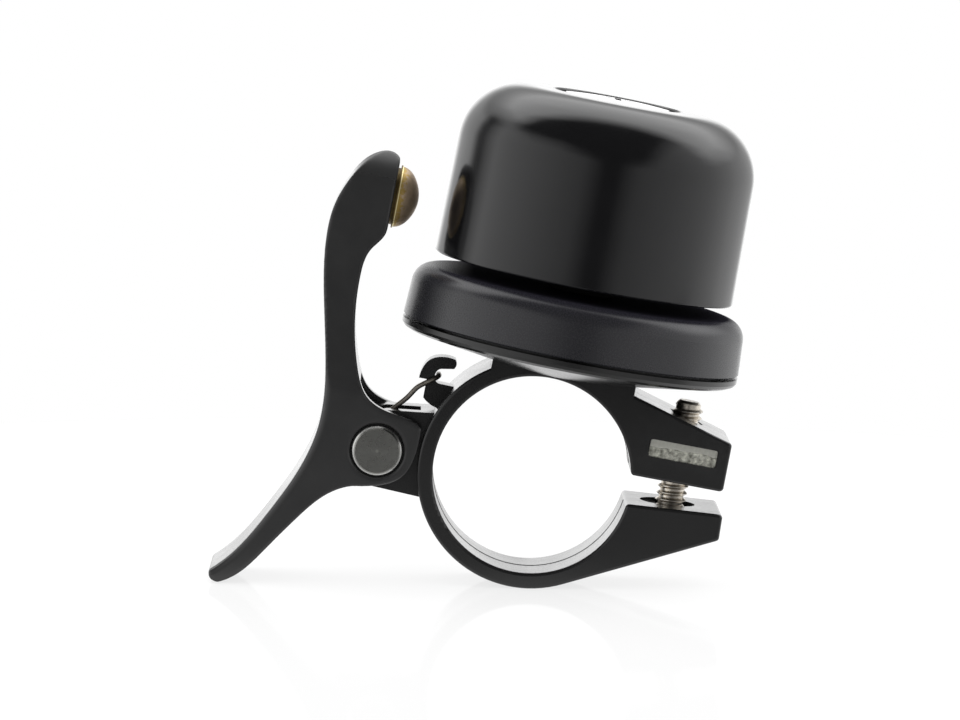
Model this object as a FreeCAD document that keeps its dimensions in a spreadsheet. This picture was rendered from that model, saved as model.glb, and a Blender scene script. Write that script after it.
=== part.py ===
"""Bicycle bell with a one-piece handlebar clamp.

Frame: millimetres, +Z up along the bell axis, +Y along the handlebar, +X towards the clamp screw.
The origin is the centre of the handlebar bore.
"""
import FreeCAD, Part
import Sketcher
import math
import os

from FreeCAD import Vector

DRIVING = {
    # split ring and its lugs
    "bore_radius": 11.2,
    "ring_radius": 12.97,
    "ring_width": 13.0,
    "lug_end_x": 21.6,
    "lug_bottom_z": 2.1,
    "jaw_end_x": 22.1,
    "jaw_slope": 4.2,
    "screw_x": 16.35,
    "nut_width": 7.8,
    "nut_length": 12.5,
    "nut_height": 2.0,
    "nut_z": 4.6,
    "screw_seat_z": -2.4,
    "edge_round": 0.35,
    # plate under the cup
    "bell_x": 1.8,
    "plate_radius": 19.38,
    "plate_edge_z": 13.47,
    "plate_top_z": 14.6,
    "cone_radius": 6.5,
    "cone_z": 11.35,
    "seat_radius": 17.4,
    "seat_step": 0.3,
    # cup and dome
    "cup_radius": 19.38,
    "cup_height": 6.1,
    "cup_wall": 1.2,
    "cup_round": 2.2,
    "dome_radius": 17.2,
    "dome_rim_z": 22.58,
    "dome_height": 20.58,
    "dome_wall": 1.4,
    "dome_shoulder": 7.0,
    "recess_radius": 7.25,
    "recess_depth": 1.6,
    "dome_hole_radius": 2.1,
    "dome_screw_radius": 6.0,
    # pivot and lever
    "pivot_x": -17.7,
    "pivot_z": -0.5,
    "pin_radius": 1.5,
    "pin_head_radius": 2.78,
    "cheek_thickness": 2.0,
    "lug_half_width": 4.4,
    "slot_front_y": -2.3,
    "slot_back_y": 1.5,
    "arm_half_width": 4.2,
    "lever_round": 0.6,
    # hammer
    "hammer_x": -20.8,
    "hammer_z": 27.7,
    "hammer_radius": 3.55,
    "hammer_height": 2.5,
    # fasteners and spring
    "thread_radius": 1.75,
    "thread_pitch": 0.794,
    "wire_radius": 0.29,
    "coil_radius": 2.15,
    "coil_front_y": -1.85,
    "running_gap": 0.04,
}

doc = FreeCAD.newDocument("bicycle_bell")
sheet = doc.addObject("Spreadsheet::Sheet", "Dim")
for row, (alias, number) in enumerate(DRIVING.items(), start=1):
    sheet.set(f"A{row}", alias)
    sheet.set(f"B{row}", str(number))
    sheet.setAlias(f"B{row}", alias)
doc.recompute()


class Size:
    """A length with two readings: its number, and the sheet expression that it comes from."""

    def __init__(self, number, text):
        self.number = number
        self.text = text

    def __add__(self, other):
        other = as_size(other)
        return Size(self.number + other.number, f"({self.text} + {other.text})")

    def __sub__(self, other):
        other = as_size(other)
        return Size(self.number - other.number, f"({self.text} - {other.text})")

    def __mul__(self, factor):
        return Size(self.number * factor, f"({self.text} * {factor})")

    def __neg__(self):
        return self * -1


def as_size(value):
    return value if isinstance(value, Size) else Size(float(value), f"({float(value)})")


def dim(alias):
    return Size(float(sheet.get(alias)), f"Dim.{alias}")


def bind(obj, **properties):
    """Bind each named property to its sheet expression."""
    for name, value in properties.items():
        obj.setExpression(name, as_size(value).text)


def new_body(label):
    body = doc.addObject("PartDesign::Body", label)
    body.Label = label
    return body


def origin_plane(body, role):
    return next(f for f in body.Origin.OriginFeatures if f.Role == role)


def new_sketch(body, name, role, offset=0):
    """A sketch on one of the body's origin planes, moved along the plane's normal by offset."""
    sketch = body.newObject("Sketcher::SketchObject", name)
    sketch.AttachmentSupport = [(origin_plane(body, role), "")]
    sketch.MapMode = "FlatFace"
    sketch.setExpression("AttachmentOffset.Base.z", as_size(offset).text)
    doc.recompute()
    return sketch


def fix_point(sketch, geometry, corner, point):
    """Hold one point of a sketch at a place read from the sheet."""
    for kind, value in zip(("DistanceX", "DistanceY"), point):
        value = as_size(value)
        index = sketch.addConstraint(Sketcher.Constraint(kind, -1, 1, geometry, corner, value.number))
        sketch.setExpression(f"Constraints[{index}]", value.text)


def polygon(sketch, points):
    """Close a polygon through the points; every corner is held by the sheet."""
    corners = [Vector(as_size(u).number, as_size(v).number, 0) for u, v in points]
    first = sketch.GeometryCount
    count = len(corners)
    for i in range(count):
        sketch.addGeometry(Part.LineSegment(corners[i], corners[(i + 1) % count]), False)
    for i in range(count):
        following = first + (i + 1) % count
        sketch.addConstraint(Sketcher.Constraint("Coincident", first + i, 2, following, 1))
    for i, point in enumerate(points):
        fix_point(sketch, first + i, 1, point)


def circle(sketch, centre, radius):
    radius = as_size(radius)
    place = Vector(as_size(centre[0]).number, as_size(centre[1]).number, 0)
    index = sketch.addGeometry(Part.Circle(place, Vector(0, 0, 1), radius.number), False)
    fix_point(sketch, index, 3, centre)
    radius_index = sketch.addConstraint(Sketcher.Constraint("Radius", index, radius.number))
    sketch.setExpression(f"Constraints[{radius_index}]", radius.text)


def smooth_loop(sketch, runs):
    """Close an outline of open curves, each one a smooth curve or a line through its points."""
    first = sketch.GeometryCount
    for run in runs:
        points = [Vector(u, v, 0) for u, v in run]
        if len(points) == 2:
            sketch.addGeometry(Part.LineSegment(*points), False)
        else:
            curve = Part.BSplineCurve()
            curve.interpolate(points)
            sketch.addGeometry(curve, False)
    for i in range(len(runs)):
        following = first + (i + 1) % len(runs)
        sketch.addConstraint(Sketcher.Constraint("Coincident", first + i, 2, following, 1))


def pad(body, sketch, length, name, midplane=False, reverse=False):
    feature = body.newObject("PartDesign::Pad", name)
    feature.Profile = sketch
    feature.Midplane = midplane
    feature.Reversed = reverse
    bind(feature, Length=length)
    sketch.Visibility = False
    doc.recompute()
    return feature


def pocket(body, sketch, length, name, midplane=False, reverse=False):
    """Cut a sketch out of a body, and check that it removed material."""
    before = body.Shape.Volume
    feature = body.newObject("PartDesign::Pocket", name)
    feature.Profile = sketch
    feature.Midplane = midplane
    feature.Reversed = reverse
    bind(feature, Length=length)
    doc.recompute()
    if body.Shape.Volume >= before - 1e-6:
        raise RuntimeError(f"{name} cuts nothing")
    return feature


def revolve(body, sketch, name, kind="PartDesign::Revolution", axis="V_Axis"):
    feature = body.newObject(kind, name)
    feature.Profile = sketch
    feature.ReferenceAxis = (sketch, [axis])
    feature.Angle = 360
    doc.recompute()
    return feature


def edges_where(shape, test):
    """Names of the edges whose middle point passes the test."""
    names = []
    for i, edge in enumerate(shape.Edges, start=1):
        middle = edge.valueAt((edge.FirstParameter + edge.LastParameter) / 2)
        if test(edge, middle):
            names.append(f"Edge{i}")
    return names


def fillet(body, radius, test, name, kind="PartDesign::Fillet"):
    """Round (or chamfer) the edges that pass the test."""
    base = body.Tip
    feature = body.newObject(kind, name)
    feature.Base = (base, edges_where(base.Shape, test))
    if kind == "PartDesign::Fillet":
        bind(feature, Radius=radius)
    else:
        bind(feature, Size=radius)
    doc.recompute()
    return feature


def turned(label, points, place=(0, 0, 0)):
    """A body turned about its own Z axis from a half profile of (radius, height) corners."""
    body = new_body(label)
    sketch = new_sketch(body, f"{label}_profile", "XZ_Plane")
    polygon(sketch, points)
    revolve(body, sketch, f"{label}_turned")
    for axis, value in zip("xyz", place):
        body.setExpression(f"Placement.Base.{axis}", as_size(value).text)
    doc.recompute()
    return body


HALF_WIDTH = dim("ring_width") * 0.5
BELL = (dim("bell_x"), 0, 0)
SEAT_Z = dim("plate_top_z") + dim("seat_step")
CUP_TOP_Z = SEAT_Z + dim("cup_height")
CROWN_Z = dim("dome_rim_z") + dim("dome_height")
RECESS_Z = CROWN_Z - dim("recess_depth")
POST_TOP_Z = RECESS_Z - dim("dome_wall") - 1.0


# ---------------------------------------------------------------- clamp body

def clamp_body():
    """One moulding: plate, saddle, split ring, nut lug, lower jaw, pivot lug and spring hook."""
    body = new_body("clamp_body")
    ring = new_sketch(body, "ring", "XZ_Plane")
    circle(ring, (0, 0), dim("ring_radius"))
    pad(body, ring, dim("ring_width"), "ring_pad", midplane=True)

    saddle = new_sketch(body, "saddle", "XZ_Plane")
    polygon(saddle, [
        (-6.8, 9.0), (-6.8, 13.2), (9.65, 13.2), (9.65, 11.0), (dim("screw_x"), 9.1),
        (dim("lug_end_x"), 7.65),
        (dim("lug_end_x"), dim("lug_bottom_z")), (0, dim("lug_bottom_z")),
    ])
    pad(body, saddle, dim("ring_width"), "saddle_pad", midplane=True)

    jaw_rise = math.tan(math.radians(DRIVING["jaw_slope"]))
    jaw = new_sketch(body, "lower_jaw", "XZ_Plane")
    jaw_top_z = -1.25 + (DRIVING["jaw_end_x"] - 11.0) * jaw_rise
    tangent = math.radians(-63.0)
    polygon(jaw, [
        (0, -2.1), (11.0, -1.25), (dim("jaw_end_x"), jaw_top_z), (dim("jaw_end_x") + 0.1, -3.4),
        (dim("ring_radius") * math.cos(tangent), dim("ring_radius") * math.sin(tangent)),
    ])
    pad(body, jaw, dim("ring_width"), "jaw_pad", midplane=True)

    pivot_lug = new_sketch(body, "pivot_lug", "XZ_Plane")
    smooth_loop(pivot_lug, [
        [(-9.0, 5.0), (-12.2, 4.65)],
        [(-12.2, 4.65), (-17.5, 4.0)],
        [(-17.5, 4.0), (-22.15, 0.1), (-18.0, -4.8)],
        [(-18.0, -4.8), (-12.0, -5.05)],
        [(-12.0, -5.05), (-9.0, -5.0)],
        [(-9.0, -5.0), (-9.0, 5.0)],
    ])
    pad(body, pivot_lug, dim("lug_half_width") * 2, "pivot_lug_pad", midplane=True)

    hook = new_sketch(body, "spring_hook", "XZ_Plane")
    smooth_loop(hook, [
        [(-9.6, 7.7), (-12.0, 7.75)],
        [(-12.0, 7.75), (-12.55, 8.0), (-12.75, 8.6), (-12.55, 9.2), (-12.0, 9.48)],
        [(-12.0, 9.48), (-10.75, 9.7)],
        [(-10.75, 9.7), (-10.55, 10.2), (-10.75, 10.76)],
        [(-10.75, 10.76), (-12.2, 10.85), (-13.65, 10.25), (-14.4, 8.75), (-14.3, 6.9), (-13.35, 5.65),
         (-11.7, 4.95)],
        [(-11.7, 4.95), (-9.6, 4.95)],
        [(-9.6, 4.95), (-9.6, 7.7)],
    ])
    pad(body, hook, 3.0, "spring_hook_pad", midplane=True)

    bore = new_sketch(body, "handlebar_bore", "XZ_Plane")
    circle(bore, (0, 0), dim("bore_radius"))
    pocket(body, bore, dim("ring_width") + 2, "handlebar_bore_cut", midplane=True)

    gap = new_sketch(body, "clamp_gap", "XZ_Plane")
    polygon(gap, [
        (8.0, dim("lug_bottom_z")), (30, dim("lug_bottom_z")),
        (30, -1.25 + 19.0 * jaw_rise), (11.0, -1.25), (8.0, -1.25),
    ])
    pocket(body, gap, dim("ring_width") + 2, "clamp_gap_cut", midplane=True)
    round_corners(body)
    round_edges(body)

    slot = new_sketch(body, "coil_slot", "XY_Plane", -8.0)
    polygon(slot, [
        (-26.0, dim("slot_front_y")), (-13.6, dim("slot_front_y")),
        (-13.6, dim("slot_back_y")), (-26.0, dim("slot_back_y")),
    ])
    pocket(body, slot, 16.0, "coil_slot_cut", reverse=True)

    window = new_sketch(body, "nut_window", "XZ_Plane")
    side = dim("nut_width") * 0.5
    polygon(window, [
        (dim("screw_x") - side, dim("nut_z")), (dim("screw_x") + side, dim("nut_z")),
        (dim("screw_x") + side, dim("nut_z") + dim("nut_height")),
        (dim("screw_x") - side, dim("nut_z") + dim("nut_height")),
    ])
    pocket(body, window, dim("ring_width") + 2, "nut_window_cut", midplane=True)
    round_window(body)

    screw_hole = new_sketch(body, "screw_hole", "XY_Plane", -12.0)
    circle(screw_hole, (dim("screw_x"), 0), dim("thread_radius") + 0.25)
    pocket(body, screw_hole, 30.0, "screw_hole_cut", reverse=True)

    jaw_recess = new_sketch(body, "jaw_recess", "XY_Plane", -1.4)
    circle(jaw_recess, (dim("screw_x") - 0.3, 0), 3.15)
    pocket(body, jaw_recess, 2.5, "jaw_recess_cut", reverse=True)

    head_recess = new_sketch(body, "head_recess", "XY_Plane", dim("screw_seat_z"))
    circle(head_recess, (dim("screw_x"), 0), 3.35)
    pocket(body, head_recess, 8.0, "head_recess_cut")

    pin_hole = new_sketch(body, "pin_hole", "XZ_Plane")
    circle(pin_hole, (dim("pivot_x"), dim("pivot_z")), dim("pin_radius"))
    pocket(body, pin_hole, 12.0, "pin_hole_cut", midplane=True)
    return body


def round_corners(body):
    """Round the corners of the nut lug and the lower jaw, seen along the handlebar."""
    lug_end = DRIVING["lug_end_x"]
    jaw_end = DRIVING["jaw_end_x"]
    corners = [(lug_end, 7.65), (lug_end, DRIVING["lug_bottom_z"]), (jaw_end, -0.4), (jaw_end + 0.1, -3.4),
               (11.0, -1.25), (11.0, DRIVING["lug_bottom_z"])]

    def at_corner(edge, middle):
        along_bar = abs(middle.y) < 1e-3 and edge.Length > 10.0
        return along_bar and any(math.hypot(middle.x - x, middle.z - z) < 0.35 for x, z in corners)

    fillet(body, 0.45, at_corner, "lug_corners")


def round_edges(body):
    """Lightly round the long mould edges of the ring, the lugs and the pivot lug."""
    half = DRIVING["ring_width"] / 2

    def on_face(edge, middle):
        return abs(abs(middle.y) - half) < 1e-3 and edge.Length > 3.0 and middle.z < 12.0

    fillet(body, dim("edge_round"), on_face, "mould_edges")


def round_window(body):
    """Round the four long edges of the nut window."""
    side = DRIVING["nut_width"] / 2

    def window_edge(edge, middle):
        at_side = abs(abs(middle.x - DRIVING["screw_x"]) - side) < 1e-3
        return at_side and abs(middle.y) < 1e-3 and edge.Length > 10.0

    fillet(body, 0.3, window_edge, "window_edges")


def clamp_plate():
    """The conical plate that carries the cup, with the raised seat and the hole for the insert."""
    place = (dim("bell_x"), 0, 0)
    return turned("plate_blank", [
        (0, dim("cone_z") - 1.2), (dim("cone_radius"), dim("cone_z")),
        (dim("plate_radius") - 0.9, dim("plate_edge_z") - 0.05),
        (dim("plate_radius") - 0.25, dim("plate_edge_z") + 0.25),
        (dim("plate_radius"), dim("plate_edge_z") + 0.6), (dim("plate_radius"), dim("plate_top_z")),
        (dim("seat_radius"), dim("plate_top_z")), (dim("seat_radius"), SEAT_Z), (0, SEAT_Z),
    ], place)


def build_clamp():
    """Join the moulded ring and the plate, and cut what passes through both."""
    ring = clamp_body()
    plate = clamp_plate()
    joined = doc.addObject("Part::MultiFuse", "clamp_joined")
    joined.Shapes = [ring, plate]
    joined.Refine = True
    bore = doc.addObject("Part::Cylinder", "bore_tool")
    bind(bore, Radius=dim("bore_radius"), Height=dim("ring_width") + 30)
    bore.Placement = FreeCAD.Placement(Vector(0, 20, 0), FreeCAD.Rotation(Vector(1, 0, 0), 90))
    bind(bore, **{"Placement.Base.y": dim("ring_width") * 0.5 + 15})
    insert_hole = doc.addObject("Part::Cylinder", "insert_tool")
    bind(insert_hole, Radius=2.6, Height=3.3)
    bind(insert_hole, **{"Placement.Base.x": dim("bell_x"), "Placement.Base.z": SEAT_Z - 3.2})
    tools = doc.addObject("Part::MultiFuse", "clamp_tools")
    tools.Shapes = [bore, insert_hole]
    clamp = doc.addObject("Part::Cut", "clamp_cut")
    clamp.Base = joined
    clamp.Tool = tools
    clamp.Refine = True
    ring.Label = "clamp_ring_blank"
    clamp.Label = "clamp_body"
    doc.recompute()
    return clamp


# ---------------------------------------------------------------- bell head

def base_cup():
    """Shallow moulded cup: round shoulder, closed flat top, open below, with a boss round the stud."""
    outer = dim("cup_radius")
    wall = dim("cup_wall")
    rim = outer - 0.35
    ceiling = CUP_TOP_Z - wall
    body = turned("base_cup", [
        (2.1, SEAT_Z), (4.2, SEAT_Z), (4.2, ceiling), (rim - wall, ceiling), (outer - wall, SEAT_Z),
        (outer - 0.15, SEAT_Z), (outer, SEAT_Z + 0.15), (rim, CUP_TOP_Z), (2.1, CUP_TOP_Z),
    ], BELL)

    def at_corner(radius, height):
        def test(edge, middle):
            near = abs(math.hypot(middle.x, middle.y) - radius) < 0.1
            return near and abs(middle.z - height) < 1e-3
        return test

    fillet(body, dim("cup_round"), at_corner(rim.number, CUP_TOP_Z.number), "cup_shoulder")
    fillet(body, dim("cup_round") - wall, at_corner((rim - wall).number, ceiling.number), "cup_inside")
    return body


def bell_dome():
    """Drawn dome: tapered wall, round shoulder, flat crown with a recess and a central hole."""
    wall = dim("dome_wall")
    outer = dim("dome_radius")
    rim = dim("dome_rim_z")
    body = turned("bell_dome", [
        (outer, rim), (outer - 0.3, CROWN_Z - 0.15), (dim("recess_radius"), CROWN_Z),
        (dim("recess_radius") - 0.25, RECESS_Z), (dim("dome_hole_radius"), RECESS_Z),
        (dim("dome_hole_radius"), RECESS_Z - wall), (dim("recess_radius") + 1.3, RECESS_Z - wall),
        (dim("recess_radius") + 1.5, CROWN_Z - wall), (outer - 0.3 - wall, CROWN_Z - wall),
        (outer - wall, rim),
    ], BELL)
    outer_edge = outer.number - 0.3
    inner_edge = outer_edge - wall.number

    def at_radius(radius, height):
        def test(edge, middle):
            return abs(math.hypot(middle.x, middle.y) - radius) < 0.05 and abs(middle.z - height) < 0.2
        return test

    crown = CROWN_Z.number
    fillet(body, dim("dome_shoulder"), at_radius(outer_edge, crown), "outer_shoulder")
    fillet(body, dim("dome_shoulder") - wall, at_radius(inner_edge, crown - wall.number), "inner_shoulder")
    fillet(body, 0.3, at_radius(DRIVING["recess_radius"], crown), "recess_lip")
    fillet(body, 0.25, at_radius(outer.number, rim.number), "rim_edge")
    return body


def dome_post():
    """Turned pillar: stud below, shoulder on the cup washer, seat and tapped hole at the top."""
    return turned("dome_post", [
        (0, SEAT_Z - 2.9), (1.98, SEAT_Z - 2.9), (1.98, CUP_TOP_Z + 0.4), (3.0, CUP_TOP_Z + 0.4),
        (3.0, POST_TOP_Z), (1.55, POST_TOP_Z), (1.55, POST_TOP_Z - 9.0), (0, POST_TOP_Z - 9.0),
    ], BELL)


def ring_piece(label, inner, outer, bottom, top, place):
    """A plain washer or sleeve."""
    return turned(label, [(inner, bottom), (outer, bottom), (outer, top), (inner, top)], place)


def post_insert():
    """Threaded insert, moulded into the plate."""
    return turned("post_insert", [
        (2.0, SEAT_Z - 3.1), (2.6, SEAT_Z - 3.1), (2.6, SEAT_Z - 1.9), (2.35, SEAT_Z - 1.7),
        (2.35, SEAT_Z - 1.3), (2.6, SEAT_Z - 1.1), (2.6, SEAT_Z - 0.02), (2.0, SEAT_Z - 0.02),
    ], BELL)


def dome_lock_washer():
    """Split spring washer under the head of the dome screw."""
    body = ring_piece("dome_lock_washer", 1.65, 3.0, RECESS_Z, RECESS_Z + 0.7, BELL)
    split = new_sketch(body, "split", "XY_Plane", RECESS_Z - 1)
    polygon(split, [(1.0, -0.2), (4.0, 0.1), (4.0, 0.45), (1.0, 0.15)])
    pocket(body, split, 4, "split_cut", reverse=True)
    return body


def dome_screw():
    """Low-domed screw with a wide head and a cross recess."""
    head_z = RECESS_Z + 0.7
    radius = dim("dome_screw_radius")
    body = turned("dome_screw", [
        (0, POST_TOP_Z - 6.5), (1.25, POST_TOP_Z - 6.5), (1.5, POST_TOP_Z - 6.1), (1.5, head_z),
        (radius - 0.2, head_z), (radius, head_z + 0.2), (radius, head_z + 0.75),
        (radius * 0.7, head_z + 0.88), (radius * 0.36, head_z + 0.95), (0, head_z + 0.98),
    ], BELL)
    cross = new_sketch(body, "cross_recess", "XY_Plane", head_z + 0.35)
    arm, half = 1.9, 0.35
    polygon(cross, [
        (-arm, -half), (-half, -half), (-half, -arm), (half, -arm), (half, -half), (arm, -half),
        (arm, half), (half, half), (half, arm), (-half, arm), (-half, half), (-arm, half),
    ])
    pocket(body, cross, 3.0, "cross_recess_cut", reverse=True)
    return body


# ---------------------------------------------------------------- clamp fasteners

def clamp_nut():
    """Punched plate nut that lies in the window of the upper lug."""
    body = new_body("clamp_nut")
    side = dim("nut_width") * 0.5 - 0.06
    end = dim("nut_length") * 0.5
    outline = new_sketch(body, "nut_outline", "XY_Plane", dim("nut_z"))
    polygon(outline, [(-side, -end), (side, -end), (side, end), (-side, end)])
    circle(outline, (0, 0), dim("thread_radius") + dim("running_gap"))
    pad(body, outline, dim("nut_height"), "nut_pad")

    def lengthwise(edge, middle):
        return abs(middle.y) < 1e-3 and edge.Length > 10.0

    fillet(body, 0.3, lengthwise, "nut_edges")
    body.setExpression("Placement.Base.x", dim("screw_x").text)
    doc.recompute()
    return body


def clamp_screw():
    """Pan-head screw from below, threaded up to its flat end above the lug."""
    head_z = dim("screw_seat_z") - 0.5
    body = turned("clamp_screw", [
        (0, head_z - 1.8), (2.3, head_z - 1.8), (2.75, head_z - 1.35), (2.75, head_z), (1.4, head_z),
        (1.4, 10.7), (1.1, 11.0), (0, 11.0),
    ], (dim("screw_x"), 0, 0))
    thread = new_sketch(body, "thread_form", "XZ_Plane")
    crest = dim("thread_radius")
    pitch = dim("thread_pitch")
    start = -1.9
    polygon(thread, [
        (1.3, start - 0.34), (crest, start - 0.05), (crest, start + 0.05), (1.3, start + 0.34),
    ])
    helix = body.newObject("PartDesign::AdditiveHelix", "thread")
    helix.Profile = thread
    helix.ReferenceAxis = (thread, ["V_Axis"])
    helix.Mode = 0
    bind(helix, Pitch=pitch, Height=pitch * 15.4)
    doc.recompute()
    driver = new_sketch(body, "driver_slot", "XY_Plane", head_z - 1.9)
    polygon(driver, [(-2.9, -0.45), (2.9, -0.45), (2.9, 0.45), (-2.9, 0.45)])
    pocket(body, driver, 1.0, "driver_slot_cut", reverse=True)
    return body


# ---------------------------------------------------------------- striker

def striker_lever():
    """Moulded lever: fork hub around the pivot lug, upper arm with the hammer boss, thumb tail."""
    body = new_body("striker_lever")
    outline = new_sketch(body, "lever_outline", "XZ_Plane")
    smooth_loop(outline, [
        [(-21.15, 31.9), (-22.4, 32.6), (-24.2, 31.9), (-26.3, 29.2), (-27.6, 25.6), (-27.8, 22.0),
         (-27.05, 16.4), (-25.75, 10.5), (-24.85, 5.5), (-24.75, 0.9), (-25.9, -4.0), (-28.5, -9.7),
         (-31.8, -15.2), (-33.9, -17.4)],
        [(-33.9, -17.4), (-33.6, -18.3), (-32.6, -18.6)],
        [(-32.6, -18.6), (-30.6, -17.25), (-28.05, -13.95), (-25.05, -9.6), (-22.6, -6.7), (-19.7, -5.02)],
        [(-19.7, -5.02), (-17.0, -4.45), (-14.3, -2.9), (-13.35, -0.5), (-13.2, 2.9)],
        [(-13.2, 2.9), (-15.0, 3.65), (-17.6, 4.1), (-19.75, 5.1), (-21.55, 8.2), (-22.8, 13.1),
         (-23.18, 18.3), (-22.52, 21.6), (-21.4, 23.2), (-21.15, 24.2)],
        [(-21.15, 24.2), (-21.15, 31.9)],
    ])
    pad(body, outline, dim("ring_width"), "lever_pad", midplane=True)

    def outer_edge(edge, middle):
        return abs(middle.y) > HALF_WIDTH.number - 1e-3 and edge.Length > 30.0

    fillet(body, dim("lever_round"), outer_edge, "outer_edge_round")

    waist = dim("arm_half_width")
    for sign, side in ((-1, "front"), (1, "rear")):
        relief = new_sketch(body, f"arm_relief_{side}", "YZ_Plane", -36.0)
        smooth_loop(relief, [
            [(sign * 9.0, 35.0), (sign * 9.0, 4.2)],
            [(sign * 9.0, 4.2), (sign * 6.62, 4.2)],
            [(sign * 6.62, 4.2), (sign * 6.35, 6.5), (sign * 5.7, 9.3), (sign * 4.75, 12.8),
             (sign * waist.number, 16.5)],
            [(sign * waist.number, 16.5), (sign * waist.number, 27.0)],
            [(sign * waist.number, 27.0), (sign * 4.0, 29.4), (sign * 3.1, 31.4), (sign * 1.6, 32.5),
             (sign * 0.1, 32.9)],
            [(sign * 0.1, 32.9), (sign * 0.1, 35.0)],
            [(sign * 0.1, 35.0), (sign * 9.0, 35.0)],
        ])
        pocket(body, relief, 30.0, f"arm_relief_{side}_cut", reverse=True)

    fork = new_sketch(body, "fork_slot", "XY_Plane", -5.6)
    inner = HALF_WIDTH - dim("cheek_thickness")
    polygon(fork, [(-22.35, -inner), (-8.0, -inner), (-8.0, inner), (-22.35, inner)])
    pocket(body, fork, 12.3, "fork_slot_cut", reverse=True)

    pin_hole = new_sketch(body, "pin_hole", "XZ_Plane")
    circle(pin_hole, (dim("pivot_x"), dim("pivot_z")), dim("pin_radius") + dim("running_gap"))
    pocket(body, pin_hole, 20.0, "pin_hole_cut", midplane=True)
    head_seat = new_sketch(body, "head_seat", "XZ_Plane", HALF_WIDTH - 0.6)
    circle(head_seat, (dim("pivot_x"), dim("pivot_z")), dim("pin_head_radius") + 0.28)
    pocket(body, head_seat, 3.0, "head_seat_cut", reverse=True)

    shank = new_sketch(body, "shank_hole", "YZ_Plane", -25.3)
    circle(shank, (0, dim("hammer_z")), 1.25)
    pocket(body, shank, 8.0, "shank_hole_cut", reverse=True)
    return body


def hammer_head():
    """Brass button with a thin flange; its shank is pressed into the lever."""
    body = new_body("hammer_head")
    outline = new_sketch(body, "hammer_profile", "XZ_Plane")
    radius = dim("hammer_radius").number
    rise = dim("hammer_height").number
    smooth_loop(outline, [
        [(0, 0), (-4.4, 0)],
        [(-4.4, 0), (-4.4, 1.25)],
        [(-4.4, 1.25), (-0.35, 1.25)],
        [(-0.35, 1.25), (-0.35, radius - 0.3)],
        [(-0.35, radius - 0.3), (-0.05, radius - 0.3)],
        [(-0.05, radius - 0.3), (-0.05, radius + 0.05)],
        [(-0.05, radius + 0.05), (0.12, radius + 0.05)],
        [(0.12, radius + 0.05), (0.12, radius - 0.08)],
        [(0.12, radius - 0.08), (0.95, radius * 0.9), (rise * 0.78, radius * 0.58),
         (rise * 0.97, radius * 0.22), (rise, 0)],
        [(rise, 0), (0, 0)],
    ])
    revolve(body, outline, "hammer_turned", axis="H_Axis")
    body.setExpression("Placement.Base.x", dim("hammer_x").text)
    body.setExpression("Placement.Base.z", dim("hammer_z").text)
    doc.recompute()
    return body


def along_y(label, points):
    """A piece turned about the pivot axis, from corners of (radius, place along Y)."""
    body = new_body(label)
    sketch = new_sketch(body, f"{label}_profile", "XY_Plane")
    polygon(sketch, points)
    revolve(body, sketch, f"{label}_turned")
    body.setExpression("Placement.Base.x", dim("pivot_x").text)
    body.setExpression("Placement.Base.z", dim("pivot_z").text)
    doc.recompute()
    return body


def pivot_pin():
    """Pin with a flat chamfered head at the front and a clip groove at the rear."""
    front = -HALF_WIDTH
    head = dim("pin_head_radius")
    shaft = dim("pin_radius")
    groove = HALF_WIDTH + 0.65
    return along_y("pivot_pin", [
        (0, front - 0.45), (head - 0.3, front - 0.45), (head, front - 0.15), (head, front + 0.55),
        (shaft, front + 0.55), (shaft, groove), (shaft - 0.35, groove), (shaft - 0.35, groove + 0.5),
        (shaft, groove + 0.5), (shaft, groove + 0.9), (shaft - 0.3, groove + 1.2), (0, groove + 1.2),
    ])


def pivot_washer():
    back = HALF_WIDTH + 0.05
    inner = dim("pin_radius") + dim("running_gap")
    return along_y("pivot_washer", [
        (inner, back), (2.9, back), (2.9, back + 0.5), (inner, back + 0.5),
    ])


def pivot_clip():
    """Open retaining ring in the groove of the pin."""
    groove = HALF_WIDTH + 0.67
    inner = dim("pin_radius") - 0.35
    body = along_y("pivot_clip", [
        (inner, groove), (2.6, groove), (2.6, groove + 0.44), (inner, groove + 0.44),
    ])
    mouth = new_sketch(body, "clip_mouth", "XZ_Plane")
    polygon(mouth, [(-0.95, 0.2), (0.95, 0.2), (1.25, 4.0), (-1.25, 4.0)])
    pocket(body, mouth, 20.0, "clip_mouth_cut", midplane=True)
    return body


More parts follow.
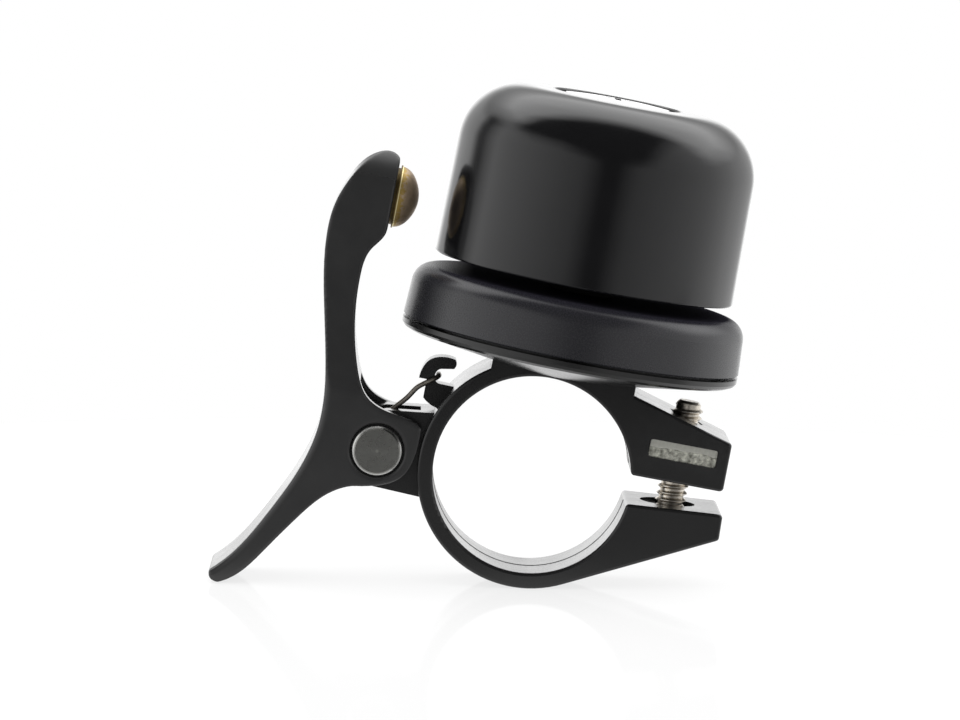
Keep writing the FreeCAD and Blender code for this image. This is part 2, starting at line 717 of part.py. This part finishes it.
def torsion_spring():
    """Round wire: an end hooked on the clamp, a coil round the pin, a leg against the lever's web."""
    pivot = Vector(DRIVING["pivot_x"], 0, DRIVING["pivot_z"])
    radius = DRIVING["coil_radius"]
    wire_radius = DRIVING["wire_radius"]
    pitch = 2 * wire_radius + 0.08
    first_angle = math.radians(140.0)
    swept_angle = math.radians(1015.0)
    steps = 36

    def on_coil(angle):
        along = DRIVING["coil_front_y"] + pitch * (angle - first_angle) / (2 * math.pi)
        return pivot + Vector(radius * math.cos(angle), along, radius * math.sin(angle))

    def heading(angle):
        return Vector(-math.sin(angle), 0, math.cos(angle))

    last_angle = first_angle + swept_angle
    front_y = DRIVING["coil_front_y"]
    hooked_end = [
        Vector(-12.3, 0.9, 8.6), Vector(-12.3, 0.0, 8.6), Vector(-12.3, -0.9, 8.6),
        Vector(-12.46, front_y + 0.35, 8.46), Vector(-12.95, front_y + 0.03, 8.1),
        Vector(-13.7, front_y, 7.55), Vector(-14.35, front_y, 7.05),
    ]
    long_leg = [on_coil(first_angle) - heading(first_angle) * reach for reach in (6.4, 4.5, 2.5, 1.0)]
    coil = [on_coil(first_angle + swept_angle * step / steps) for step in range(steps + 1)]
    short_leg = [on_coil(last_angle) + heading(last_angle) * reach for reach in (1.0, 2.5, 4.9)]
    path = Part.BSplineCurve()
    path.interpolate(hooked_end + long_leg + coil + short_leg)
    spine = Part.Wire([path.toShape()])
    start = path.value(path.FirstParameter)
    normal = path.tangent(path.FirstParameter)[0]
    section = Part.Wire([Part.Circle(start, normal, wire_radius).toShape()])
    spring = doc.addObject("Part::Feature", "torsion_spring")
    spring.Label = "torsion_spring"
    spring.Shape = spine.makePipeShell([section], True, False)
    return spring


PARTS = [
    build_clamp(), base_cup(), bell_dome(), dome_post(), post_insert(),
    ring_piece("cup_washer", 2.05, 3.7, CUP_TOP_Z, CUP_TOP_Z + 0.4, BELL),
    ring_piece("dome_isolator", 1.6, 3.8, POST_TOP_Z, RECESS_Z - dim("dome_wall"), BELL),
    dome_lock_washer(), dome_screw(), clamp_nut(), clamp_screw(),
    ring_piece("clamp_washer", dim("thread_radius") + 0.1, 3.2, dim("screw_seat_z") - 0.5,
               dim("screw_seat_z"), (dim("screw_x"), 0, 0)),
    striker_lever(), hammer_head(), pivot_pin(), pivot_washer(), pivot_clip(), torsion_spring(),
]

doc.recompute()
for obj in doc.Objects:
    if {"Invalid", "Error"} & set(obj.State):
        raise RuntimeError(f"{obj.Name} is in state {obj.State}")
os.makedirs("parts", exist_ok=True)
for part in PARTS:
    shape = part.Shape
    if shape.isNull() or not shape.isValid():
        raise RuntimeError(f"{part.Label} has no valid shape")
    shape.exportStep(f"parts/{part.Label}.step")
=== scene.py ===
"""Looks for the bicycle bell: materials, small mould details, floor, light and camera.

Units are metres, in the row frame: +Z along the bell axis, +Y along the handlebar, +X to the clamp screw.
"""
import math

import bmesh
import bpy
from mathutils import Matrix, Vector


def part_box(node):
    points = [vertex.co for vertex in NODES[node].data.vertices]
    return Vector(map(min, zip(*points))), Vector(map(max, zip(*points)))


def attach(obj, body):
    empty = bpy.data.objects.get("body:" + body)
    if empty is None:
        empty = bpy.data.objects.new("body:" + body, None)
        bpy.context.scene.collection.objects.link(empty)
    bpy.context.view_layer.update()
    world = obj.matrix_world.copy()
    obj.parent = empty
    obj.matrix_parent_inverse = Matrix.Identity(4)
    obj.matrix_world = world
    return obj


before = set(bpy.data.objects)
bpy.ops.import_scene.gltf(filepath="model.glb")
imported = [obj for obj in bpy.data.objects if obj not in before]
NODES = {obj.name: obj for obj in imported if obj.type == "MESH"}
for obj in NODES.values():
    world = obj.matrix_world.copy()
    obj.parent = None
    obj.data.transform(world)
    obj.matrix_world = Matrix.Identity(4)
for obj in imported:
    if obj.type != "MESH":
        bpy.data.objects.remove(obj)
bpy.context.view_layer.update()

MM = 0.001


def centre(name):
    """Middle of a node's box."""
    low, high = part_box(name)
    return (low + high) / 2


# The axis of the dome and the cup.
BELL_X = centre("bell_dome").x

# The bell leans in the camera's view: the camera is rolled by this much,
# and the floor is tilted nearly as far.
CAMERA_ROLL = math.radians(10.8)
FLOOR_TILT = math.radians(9.6)

# The split ring of the clamp, about the handlebar axis.
BORE_RADIUS = 11.2 * MM
RING_RADIUS = 12.97 * MM


# ---------------------------------------------------------------- node helpers

class Shader:
    """A small builder for node trees: every call adds a node and returns the socket that it makes."""

    def __init__(self, tree):
        self.tree = tree
        tree.nodes.clear()

    def node(self, kind, values=None, **settings):
        node = self.tree.nodes.new(kind)
        for key, value in settings.items():
            setattr(node, key, value)
        for key, value in (values or {}).items():
            self.feed(node.inputs[key], value)
        return node

    def feed(self, socket, value):
        if isinstance(value, bpy.types.NodeSocket):
            self.tree.links.new(value, socket)
        else:
            socket.default_value = value

    def position(self):
        return self.node("ShaderNodeTexCoord").outputs["Object"]

    def axes(self, vector):
        return self.node("ShaderNodeSeparateXYZ", {0: vector}).outputs

    def noise(self, vector, per_mm, detail=4.0, rough=0.55):
        """Noise with about per_mm features in a millimetre."""
        node = self.node("ShaderNodeTexNoise", {
            "Vector": vector, "Scale": per_mm * 1000.0, "Detail": detail, "Roughness": rough})
        return node.outputs["Fac"]

    def math(self, operation, *values):
        node = self.node("ShaderNodeMath", operation=operation)
        for i, value in enumerate(values):
            self.feed(node.inputs[i], value)
        return node.outputs[0]

    def length(self, one, other):
        """Length of the vector with these two components."""
        squares = [self.math("MULTIPLY", part, part) for part in (one, other)]
        return self.math("SQRT", self.math("ADD", *squares))

    def distance(self, value, middle):
        return self.math("ABSOLUTE", self.math("SUBTRACT", value, middle))

    def span(self, value, low, high, start=0.0, end=1.0):
        """Map low..high to start..end, held at both ends."""
        node = self.node("ShaderNodeMapRange", {
            "Value": value, "From Min": low, "From Max": high, "To Min": start, "To Max": end})
        return node.outputs[0]

    def mix(self, factor, one, other):
        """Mix two colours: factor 0 gives one, factor 1 gives other."""
        node = self.node("ShaderNodeMix", data_type="RGBA")
        self.feed(node.inputs[0], factor)
        self.feed(node.inputs[6], one)
        self.feed(node.inputs[7], other)
        return node.outputs[2]

    def edge_wear(self):
        """1 on convex edges, 0 elsewhere."""
        pointiness = self.node("ShaderNodeNewGeometry").outputs["Pointiness"]
        return self.span(pointiness, 0.53, 0.62)

    def bump(self, height, distance_mm, strength=1.0):
        values = {"Height": height, "Distance": distance_mm * MM, "Strength": strength}
        return self.node("ShaderNodeBump", values).outputs["Normal"]

    def principled(self, **values):
        """The standard surface shader, with short names for its inputs."""
        names = {
            "base": "Base Color", "metal": "Metallic", "rough": "Roughness", "normal": "Normal",
            "specular": "Specular IOR Level",
        }
        return self.node("ShaderNodeBsdfPrincipled", {names[k]: v for k, v in values.items()}).outputs[0]

    def blend(self, factor, one, other):
        """Mix two shaders: factor 0 gives one, factor 1 gives other."""
        return self.node("ShaderNodeMixShader", {0: factor, 1: one, 2: other}).outputs[0]

    def light(self, kind, level):
        """White light from a background or an emission node."""
        return self.node(kind, {"Color": rgb(1, 1, 1), "Strength": level}).outputs[0]

    def output(self, shader):
        self.node("ShaderNodeOutputMaterial", {"Surface": shader})

    def surface(self, **values):
        self.output(self.principled(**values))


def rgb(red, green, blue):
    return (red, green, blue, 1.0)


def new_material(name):
    material = bpy.data.materials.new(name)
    material.use_nodes = True
    return material, Shader(material.node_tree)


# ---------------------------------------------------------------- materials

def dome_coat():
    """Glossy black coat on drawn metal: faint orange peel, slow changes of gloss, and painted shade in the
    screw recess, where the gloss is taken away.
    """
    recess_shade_radius = 7.5 * MM
    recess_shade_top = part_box("bell_dome")[1].z - 0.12 * MM
    material, s = new_material("dome_coat")
    place = s.position()
    peel = s.noise(place, 0.7, 2.0)
    haze = s.noise(place, 0.25, 4.0)
    base = s.mix(haze, rgb(0.0035, 0.0035, 0.0040), rgb(0.0060, 0.0060, 0.0066))
    x, y, z = s.axes(place)[0:3]
    radius = s.length(s.math("SUBTRACT", x, BELL_X), y)
    # Painted shade: no gloss in the screw recess at the top of the dome, so it stays dark.
    recess_shade_mask = s.math("MULTIPLY", s.span(radius, recess_shade_radius, recess_shade_radius + 0.2 * MM, 1.0, 0.0),
                  s.span(z, recess_shade_top - 0.18 * MM, recess_shade_top, 1.0, 0.0))
    s.surface(base=base, rough=s.span(haze, 0.3, 0.7, 0.12, 0.15), normal=s.bump(peel, 0.0012, 0.4),
              specular=s.span(recess_shade_mask, 0.0, 1.0, 0.5, 0.0))
    return material


def cup_coat():
    """Satin black with a fine texture, rougher than the dome; where the dome covers it, away from the lever
    side, a dull coat without gloss paints the dome's shade.
    """
    covered_radius, open_radius = 17.0 * MM, 19.2 * MM
    lever_side_start, lever_side_end = -19.0 * MM, -11.5 * MM
    least_satin = 0.004
    material, s = new_material("cup_coat")
    place = s.position()
    x, y = s.axes(place)[0:2]
    across = s.math("SUBTRACT", x, BELL_X)
    lever_side = s.math("POWER", s.span(across, lever_side_start, lever_side_end, 1.0, 0.0), 2.5)
    outside = s.span(s.length(across, y), covered_radius, open_radius, least_satin, 1.0)
    grain = s.noise(place, 7.0, 3.0)
    cloud = s.noise(place, 0.35, 3.0)
    base = s.mix(cloud, rgb(0.011, 0.011, 0.0132), rgb(0.016, 0.016, 0.0188))
    relief = s.bump(grain, 0.003, 0.5)
    satin = s.principled(base=base, rough=s.span(grain, 0.3, 0.7, 0.22, 0.32), normal=relief)
    # Painted shade: this dull, gloss-free coat stands for the shade under the dome.
    dome_shade_coat = s.node("ShaderNodeBsdfDiffuse", {"Color": rgb(0.020, 0.019, 0.026), "Normal": relief})
    s.output(s.blend(s.math("MAXIMUM", outside, lever_side), dome_shade_coat.outputs[0], satin))
    return material


def moulded_plastic(name, tone):
    """Matte black moulded plastic: spark-eroded grain, soft blotches, rubbed edges and a duller lever top."""
    dull_from, dull_to = 29.5 * MM, 31.5 * MM
    material, s = new_material(name)
    place = s.position()
    grain = s.noise(place, 5.0, 4.0)
    cloud = s.noise(place, 0.25, 3.0)
    base = s.mix(cloud, rgb(tone * 0.8, tone * 0.8, tone * 0.82), rgb(tone * 1.2, tone * 1.2, tone * 1.2))
    rubbed = s.math("MULTIPLY", s.edge_wear(), s.span(s.noise(place, 0.8), 0.4, 0.7))
    base = s.mix(rubbed, base, rgb(tone * 1.5, tone * 1.5, tone * 1.5))
    rough = s.math("ADD", s.span(grain, 0.3, 0.7, 0.17, 0.23), s.span(cloud, 0.3, 0.7, -0.02, 0.02))
    rough = s.math("ADD", rough, s.span(s.axes(place)[2], dull_from, dull_to, 0.0, 0.35))
    s.surface(base=base, rough=rough, normal=s.bump(grain, 0.0018, 0.5), specular=0.50)
    return material


def plated_nut():
    """Zinc-plated punched plate: a sheared bright strip above a torn, rough one."""
    torn_height = 0.6
    material, s = new_material("plated_nut")
    place = s.position()
    low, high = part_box("clamp_nut")
    height = s.span(s.axes(place)[2], low.z, high.z)
    wander = s.span(s.noise(place, 0.6, 2.0), 0.3, 0.7, -0.06, 0.06)
    edge = s.math("ADD", height, wander)
    torn = s.span(edge, torn_height - 0.02, torn_height + 0.02, 1.0, 0.0)
    blotch = s.noise(place, 1.6, 5.0, 0.65)
    base = s.mix(s.span(blotch, 0.35, 0.65), rgb(0.20, 0.20, 0.168), rgb(0.90, 0.90, 0.80))
    bright = s.mix(s.noise(place, 3.0), rgb(0.46, 0.46, 0.41), rgb(0.70, 0.70, 0.64))
    base = s.mix(torn, bright, base)
    rough = s.span(blotch, 0.3, 0.7, 0.34, 0.6)
    relief = s.math("MULTIPLY", s.noise(place, 2.6, 5.0, 0.7), s.span(torn, 0.0, 1.0, 0.3, 1.0))
    groove = s.span(s.distance(edge, torn_height), 0.0, 0.035)
    shape = s.math("ADD", relief, groove)
    s.surface(base=base, metal=0.85, rough=rough, normal=s.bump(shape, 0.05, 0.9))
    return material


def plated_steel(name, tint, rough_low, rough_high):
    """Nickel or zinc plated steel with small stains and handling marks."""
    material, s = new_material(name)
    place = s.position()
    stain = s.noise(place, 1.3, 5.0, 0.6)
    fine = s.noise(place, 9.0, 2.0)
    dark = rgb(*(c * 0.55 for c in tint))
    base = s.mix(s.span(stain, 0.35, 0.7), rgb(*tint), dark)
    base = s.mix(s.edge_wear(), base, rgb(0.8, 0.79, 0.75))
    rough = s.math("ADD", s.span(stain, 0.3, 0.7, rough_low, rough_high), s.span(fine, 0, 1, -0.04, 0.04))
    s.surface(base=base, metal=1.0, rough=rough, normal=s.bump(fine, 0.004, 0.5))
    return material


def turned_steel():
    """Face-turned pin head: rings round the pivot axis, a small centre mark and a painted highlight on its
    chamfer.
    """
    ring_pitch = 0.07 * MM
    mark_radius = 0.12 * MM
    chamfer_radius = 2.60 * MM
    material, s = new_material("turned_steel")
    place = s.position()
    middle = centre("pivot_pin")
    axes = s.axes(place)
    radius = s.length(s.math("SUBTRACT", axes[0], middle.x), s.math("SUBTRACT", axes[2], middle.z))
    rings = s.math("SINE", s.math("MULTIPLY", radius, 2 * math.pi / ring_pitch))
    wobble = s.noise(place, 2.5, 4.0)
    brushed = s.math("MULTIPLY", rings, wobble)
    mark = s.span(radius, mark_radius, mark_radius + 0.10 * MM, 1.0, 0.0)
    base = s.mix(s.noise(place, 0.5, 4.0), rgb(0.21, 0.21, 0.198), rgb(0.32, 0.32, 0.302))
    base = s.mix(mark, base, rgb(0.42, 0.42, 0.39))
    # Painted highlight: the chamfer round the head is made bright, as where it catches the light.
    painted_chamfer_highlight = s.span(radius, chamfer_radius, chamfer_radius + 0.04 * MM)
    base = s.mix(painted_chamfer_highlight, base, rgb(0.60, 0.60, 0.58))
    s.surface(base=base, metal=1.0, rough=s.span(wobble, 0.3, 0.7, 0.25, 0.34),
              normal=s.bump(brushed, 0.003, 0.5))
    return material


def turned_brass():
    """Dulled brass with lathe rings round the hammer's axis, a deeper gold near its flange, a painted
    highlight line on the flange and painted shade where it seats on the lever.
    """
    ring_pitch = 0.09 * MM
    flange_x = -20.85 * MM
    flange_highlight_x = flange_x + 0.22 * MM
    material, s = new_material("turned_brass")
    place = s.position()
    x, y, z = s.axes(place)[0:3]
    radius = s.length(y, s.math("SUBTRACT", z, centre("hammer_head").z))
    rings = s.math("SINE", s.math("MULTIPLY", radius, 2 * math.pi / ring_pitch))
    tarnish = s.noise(place, 0.7, 5.0, 0.6)
    base = s.mix(s.span(tarnish, 0.35, 0.7), rgb(0.50, 0.375, 0.25), rgb(0.34, 0.265, 0.19))
    reach = s.span(s.noise(place, 2.5), 0.35, 0.65, 0.0, 0.9 * MM)
    gold = s.span(s.math("SUBTRACT", x, reach), flange_x + 0.10 * MM, flange_x + 0.50 * MM, 1.0, 0.0)
    base = s.mix(gold, base, rgb(0.38, 0.26, 0.075))
    # Painted shade: dark where the flange seats against the lever boss.
    painted_seat_shade = s.span(x, flange_x + 0.10 * MM, flange_x + 0.16 * MM, 1.0, 0.0)
    base = s.mix(painted_seat_shade, base, rgb(0.12, 0.085, 0.03))
    # Painted highlight: a thin bright line along the flange ridge.
    line = s.span(s.distance(x, flange_highlight_x), 0.03 * MM, 0.07 * MM, 1.0, 0.0)
    base = s.mix(line, base, rgb(0.95, 0.85, 0.50))
    s.surface(base=base, metal=0.78, rough=s.span(tarnish, 0.3, 0.7, 0.42, 0.56),
              normal=s.bump(rings, 0.0012, 0.4))
    return material


def drawn_wire():
    """Spring wire: fine draw lines, brown-grey tint."""
    material, s = new_material("drawn_wire")
    place = s.position()
    mottling = s.noise(place, 2.2, 4.0)
    base = s.mix(mottling, rgb(0.24, 0.22, 0.19), rgb(0.52, 0.48, 0.42))
    s.surface(base=base, metal=1.0, rough=s.span(mottling, 0.3, 0.7, 0.28, 0.45),
              normal=s.bump(s.noise(place, 8.0), 0.004, 0.5))
    return material


def rubber():
    """Matte black rubber with bloom."""
    material, s = new_material("rubber")
    place = s.position()
    bloom = s.noise(place, 0.9, 4.0)
    base = s.mix(bloom, rgb(0.010, 0.010, 0.010), rgb(0.03, 0.03, 0.03))
    s.surface(base=base, rough=s.span(bloom, 0.3, 0.7, 0.65, 0.85), normal=s.bump(s.noise(place, 5.0), 0.01))
    return material


def black_oxide(name, metal, specular, worn):
    """Blackened steel; worn is the brightness of its rubbed edges."""
    material, s = new_material(name)
    place = s.position()
    patch = s.noise(place, 1.1, 4.0)
    base = s.mix(patch, rgb(0.007, 0.007, 0.009), rgb(0.012, 0.012, 0.014))
    base = s.mix(s.edge_wear(), base, rgb(worn, worn, worn * 0.95))
    s.surface(base=base, metal=metal, rough=s.span(patch, 0.3, 0.7, 0.4, 0.58),
              normal=s.bump(s.noise(place, 7.0), 0.004), specular=specular)
    return material


def assign_materials():
    plastic = moulded_plastic("clamp_plastic", 0.0100)
    # Painted light: the lever's plastic gets twice the clamp's tone, to make up for the dark floor in its
    # reflections.
    lever_plastic_painted_light = moulded_plastic("lever_plastic_painted_light", 0.0205)
    zinc = plated_steel("zinc_plate", (0.55, 0.54, 0.48), rough_low=0.30, rough_high=0.50)
    nickel = plated_steel("nickel_plate", (0.80, 0.74, 0.65), rough_low=0.22, rough_high=0.40)
    chrome = plated_steel("bright_plate", (0.78, 0.78, 0.79), rough_low=0.08, rough_high=0.20)
    oxide = black_oxide("black_oxide", metal=0.3, specular=0.5, worn=0.2)
    # Painted shade: the cup washer under the dome gets no gloss, so it stays dark.
    painted_shade_oxide = black_oxide("painted_shade_black_oxide", metal=0.0, specular=0.0, worn=0.01)
    brass = turned_brass()
    chosen = {
        "clamp_body": plastic, "striker_lever": lever_plastic_painted_light, "base_cup": cup_coat(),
        "bell_dome": dome_coat(), "dome_post": oxide, "cup_washer": painted_shade_oxide, "pivot_clip": oxide,
        "post_insert": brass, "hammer_head": brass, "dome_isolator": rubber(),
        "dome_lock_washer": zinc, "clamp_washer": zinc, "pivot_washer": zinc,
        "clamp_nut": plated_nut(), "clamp_screw": nickel, "dome_screw": chrome,
        "pivot_pin": turned_steel(), "torsion_spring": drawn_wire(),
    }
    for name, obj in NODES.items():
        obj.data.materials.clear()
        obj.data.materials.append(chosen[name])


# ---------------------------------------------------------------- surfaces of the CAD nodes

def smooth_surfaces():
    """Shade round faces smoothly and keep the sharp edges sharp; soften the lever's edges all over."""
    sharp_angle = math.radians(32.0)
    skin_size = 0.16 * MM
    for name, obj in NODES.items():
        for polygon in obj.data.polygons:
            polygon.use_smooth = True
        if name == "striker_lever":
            remesh = obj.modifiers.new("even_skin", "REMESH")
            remesh.mode = "VOXEL"
            remesh.voxel_size = skin_size
            remesh.use_smooth_shade = True
            relax = obj.modifiers.new("soft_edges", "SMOOTH")
            relax.factor = 0.5
            relax.iterations = 8
        else:
            split = obj.modifiers.new("sharp_edges", "EDGE_SPLIT")
            split.split_angle = sharp_angle


def add_object(name, shape):
    """Turn a bmesh into an object of the scene."""
    mesh = bpy.data.meshes.new(name)
    shape.to_mesh(mesh)
    shape.free()
    obj = bpy.data.objects.new(name, mesh)
    bpy.context.scene.collection.objects.link(obj)
    return obj


def swept_arc(name, radius, half_width, rise, start, end):
    """A thin ridge of three-sided section on a cylinder about the handlebar axis; rise < 0 points inwards."""
    steps = 240
    overlap = 0.02 * MM
    shape = bmesh.new()
    rings = []
    root = radius - overlap * math.copysign(1.0, rise)
    corners = [(root, -half_width), (radius + rise, 0.0), (root, half_width)]
    for step in range(steps + 1):
        angle = math.radians(start + (end - start) * step / steps)
        rings.append([shape.verts.new((r * math.cos(angle), y, r * math.sin(angle))) for r, y in corners])
    for ring, after in zip(rings, rings[1:]):
        for i in range(3):
            shape.faces.new((ring[i], ring[(i + 1) % 3], after[(i + 1) % 3], after[i]))
    shape.faces.new(rings[0])
    shape.faces.new(rings[-1][::-1])
    bmesh.ops.recalc_face_normals(shape, faces=shape.faces)
    return add_object(name, shape)


def parting_lines():
    """Mould flash along the middle of the split ring, inside the bore and outside."""
    plastic = bpy.data.materials["clamp_plastic"]
    inside = swept_arc("parting_line_bore", BORE_RADIUS, 0.09 * MM, -0.05 * MM, start=14.0, end=352.0)
    outside = swept_arc("parting_line_ring", RING_RADIUS, 0.07 * MM, 0.04 * MM, start=205.0, end=296.0)
    for ridge in (inside, outside):
        ridge.data.materials.append(plastic)
        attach(ridge, "frame")


# ---------------------------------------------------------------- floor, light, camera

def camera():
    """Long lens, looking almost along the handlebar, from a little above and the lever side."""
    aim = Vector((-8.2, -6.5, 11.77)) * MM
    distance = 600.0 * MM
    azimuth = math.radians(1.7)
    elevation = math.radians(5.7)
    data = bpy.data.cameras.new("camera")
    data.sensor_width = 36.0
    data.lens = 199.7
    data.clip_start = 0.05
    data.clip_end = 5.0
    obj = bpy.data.objects.new("camera", data)
    bpy.context.scene.collection.objects.link(obj)
    look = Vector((math.sin(azimuth) * math.cos(elevation), math.cos(azimuth) * math.cos(elevation),
                   -math.sin(elevation)))
    obj.location = aim - look * distance
    upright = Vector((-math.sin(CAMERA_ROLL), 0, math.cos(CAMERA_ROLL)))
    right = look.cross(upright).normalized()
    up = right.cross(look)
    obj.rotation_mode = "QUATERNION"
    obj.rotation_quaternion = Matrix((right, up, -look)).transposed().to_quaternion()
    bpy.context.scene.camera = obj


def floor():
    """Pale round floor through the lowest points of the ring and the lever tail; unseen from below.

    The part in front of the bell is dark in mirrored rays, so that flat front faces stay dark.
    """
    floor_radius = 160.0 * MM
    clearance = 0.02 * MM
    dark_from, dark_to = -10.0 * MM, -30.0 * MM
    dark_level = 0.12
    self_lit_share = 0.8
    gloss_share = 0.055
    shape = bmesh.new()
    bmesh.ops.create_circle(shape, cap_ends=True, segments=96, radius=floor_radius)
    obj = add_object("floor", shape)
    obj.rotation_euler = (0, -FLOOR_TILT, 0)
    down = Vector((math.sin(FLOOR_TILT), 0, -math.cos(FLOOR_TILT)))
    obj.location = down * (RING_RADIUS + clearance)
    material, s = new_material("floor_card")
    place = s.position()
    speck = s.noise(place, 0.05, 3.0)
    card = s.mix(speck, rgb(0.93, 0.93, 0.93), rgb(0.96, 0.96, 0.96))
    paper = s.node("ShaderNodeBsdfDiffuse", {"Color": card}).outputs[0]
    gloss = s.node("ShaderNodeBsdfGlossy", {"Color": rgb(1, 1, 1), "Roughness": 0.06}).outputs[0]
    in_front = s.span(s.axes(place)[1], dark_to, dark_from, 1.0, 0.0)
    mirrored = s.math("MULTIPLY", s.node("ShaderNodeLightPath").outputs["Is Glossy Ray"], in_front)
    lit = s.light("ShaderNodeEmission", s.span(mirrored, 0.0, 1.0, 1.0, dark_level))
    top = s.blend(gloss_share, s.blend(self_lit_share, paper, lit), gloss)
    clear = s.node("ShaderNodeBsdfTransparent").outputs[0]
    below = s.node("ShaderNodeNewGeometry").outputs["Backfacing"]
    s.output(s.blend(below, top, clear))
    obj.data.materials.append(material)


def front_light(s, x, bearing, height):
    """Light walls with a dark gap where the camera stands, a dark flag, a lit ground and a dark card."""
    degrees = math.radians
    gap_level, wall_level, wall_rise = 0.06, 0.52, 0.90
    flag_level, ground_level, card_level = 0.15, 0.75, 0.06
    aside = s.distance(bearing, degrees(2.7))
    walls = s.math("ADD", s.span(aside, degrees(5), degrees(21), gap_level, wall_level),
                   s.span(aside, degrees(21), degrees(100), 0.0, wall_rise))
    walls = s.math("MULTIPLY", walls, s.span(bearing, degrees(-60), degrees(60), 1.1, 0.93))
    flag = s.math("MULTIPLY", s.span(bearing, degrees(-130), degrees(-120)),
                  s.span(bearing, degrees(-114), degrees(-96), 1.0, 0.0))
    walls = s.math("MULTIPLY", walls, s.span(flag, 0.0, 1.0, 1.0, flag_level))
    walls = s.math("MAXIMUM", walls, s.span(height, degrees(-24), degrees(-9), ground_level, 0.0))
    funnel = s.span(aside, degrees(5), degrees(45), degrees(15), 0.0)
    low_edge = s.span(s.math("ADD", height, funnel), degrees(16), degrees(34))
    sides = s.math("MULTIPLY", s.span(x, -0.95, -0.86), s.span(x, 0.42, 0.64, 1.0, 0.0))
    card = s.math("MULTIPLY", low_edge, sides)
    return s.math("ADD", s.math("MULTIPLY", walls, s.math("SUBTRACT", 1.0, card)),
                  s.math("MULTIPLY", card, card_level))


def studio():
    """Plain white surround; mirrored rays see soft walls, a card, and light overhead and behind."""
    degrees = math.radians
    overhead_level, far_level, behind_level = 3.0, 0.62, 0.7
    diffuse_level, plain_level = 1.2, 1.0
    world = bpy.data.worlds.new("studio")
    bpy.context.scene.world = world
    world.use_nodes = True
    s = Shader(world.node_tree)
    x, y, z = s.axes(s.node("ShaderNodeTexCoord").outputs["Generated"])[0:3]
    bearing = s.math("ARCTAN2", x, s.math("MULTIPLY", y, -1.0))
    height = s.math("ARCSINE", z)
    front = front_light(s, x, bearing, height)
    overhead = s.math("MULTIPLY", s.span(y, -0.11, 0.15), s.span(height, degrees(22), degrees(40)))
    level = s.math("ADD", s.math("MULTIPLY", front, s.math("SUBTRACT", 1.0, overhead)),
                   s.math("MULTIPLY", overhead, overhead_level))
    level = s.math("MULTIPLY", level, s.span(y, 0.50, 0.90, 1.0, far_level))
    behind = s.math("MULTIPLY", s.span(y, 0.90, 0.97), s.span(height, degrees(10), degrees(16), 1.0, 0.0))
    level = s.math("ADD", level, s.math("MULTIPLY", behind, behind_level))
    glossy = s.light("ShaderNodeBackground", level)
    soft = s.light("ShaderNodeBackground", diffuse_level)
    plain = s.light("ShaderNodeBackground", plain_level)
    path = s.node("ShaderNodeLightPath").outputs
    unseen = s.blend(path["Is Diffuse Ray"], glossy, soft)
    s.node("ShaderNodeOutputWorld", {"Surface": s.blend(path["Is Camera Ray"], unseen, plain)})
    bpy.context.scene.view_settings.view_transform = "Standard"


assign_materials()
smooth_surfaces()
parting_lines()
floor()
studio()
camera()
